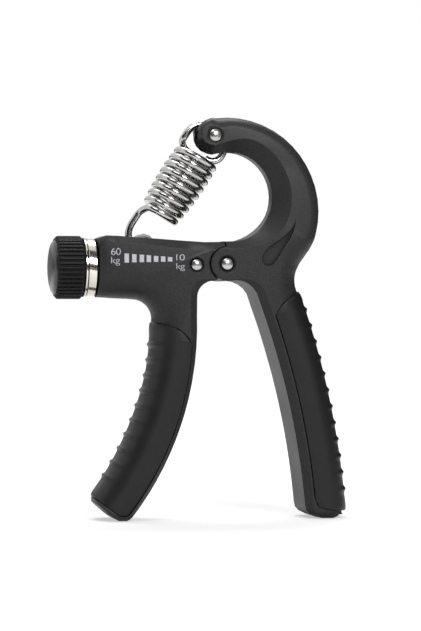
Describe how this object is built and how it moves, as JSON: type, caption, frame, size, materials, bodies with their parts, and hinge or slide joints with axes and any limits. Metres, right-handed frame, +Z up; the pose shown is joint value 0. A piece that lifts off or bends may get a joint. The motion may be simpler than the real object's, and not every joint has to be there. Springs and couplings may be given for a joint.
{
  "type": "adjustable hand gripper",
  "caption": "Adjustable hand gripper: two curved arms with ribbed rubber grips, a hooked coil spring and a knob that sets its pull.",
  "frame": {"origin": "on the surface that the gripper stands on, under the middle of its bounding box", "axes": "+X towards the spring arm, away from the knob; +Y from the scale side to the back, along the pivot; +Z up, towards the forked tip"},
  "size_m": [0.1176, 0.0252, 0.156],
  "materials": {
    "black_casting": "satin",
    "grip_rubber": "matte",
    "chrome_wire": "polished",
    "collar_metal": "polished",
    "screw_steel": "satin",
    "knob_black": "matte",
    "cap_black": "gloss",
    "bush_brass": "satin"
  },
  "bodies": {
    "adjuster_body": {"adjuster_arm": "black_casting", "adjuster_grip": "grip_rubber", "collar": "collar_metal", "screw_bush": "bush_brass", "inner_bearing": "bush_brass", "frame_rivet": "chrome_wire", "pivot_bush": "bush_brass"},
    "spring_arm_body": {"spring_arm": "black_casting", "spring_arm_grip": "grip_rubber", "pivot_rivet": "chrome_wire"},
    "knob_body": {"knob": "knob_black", "knob_cap": "cap_black", "lead_screw": "screw_steel", "thrust_washer": "screw_steel", "retaining_ring": "screw_steel"},
    "slider_body": {"slider_nut": "screw_steel", "slider_pin": "chrome_wire"},
    "hook_body": {"tip_pin": "chrome_wire", "tip_bush": "screw_steel"},
    "spring_body": {"spring": "chrome_wire"}
  },
  "joints": [
    {"name": "handle_squeeze", "type": "hinge", "parent": "adjuster_body", "child": "spring_arm_body", "pos_m": [0.00917, 0, 0.0988], "axis": [0, 1, 0], "range_deg": [0, 33], "stiffness_Nm_per_rad": 8, "springref_deg": -20.05},
    {"name": "slider_travel", "type": "slide", "parent": "adjuster_body", "child": "slider_body", "axis": [-1, 0, 0], "range_m": [-0.0085, 0.0085]},
    {"name": "knob_turn", "type": "hinge", "parent": "adjuster_body", "child": "knob_body", "pos_m": [-0.04043, 0, 0.0974], "axis": [1, 0, 0], "range_deg": [-3060, 3060]},
    {"name": "hook_setting", "type": "hinge", "parent": "spring_arm_body", "child": "hook_body", "pos_m": [0.00537, 0, 0.1488], "axis": [0, 1, 0], "range_deg": [-8.3, 8.3]},
    {"name": "spring_stretch", "type": "slide", "parent": "hook_body", "child": "spring_body", "axis": [0.0295, 0, -0.9996], "range_m": [0, 0.0185], "deforming": ["spring"]}
  ],
  "couplings": [
    {"joint": "knob_turn", "follows": "slider_travel", "rad_per_m": 6283},
    {"joint": "hook_setting", "follows": "slider_travel", "rad_per_m": 16.71},
    {"joint": "spring_stretch", "follows": "handle_squeeze", "m_per_rad": 0.03203}
  ]
}
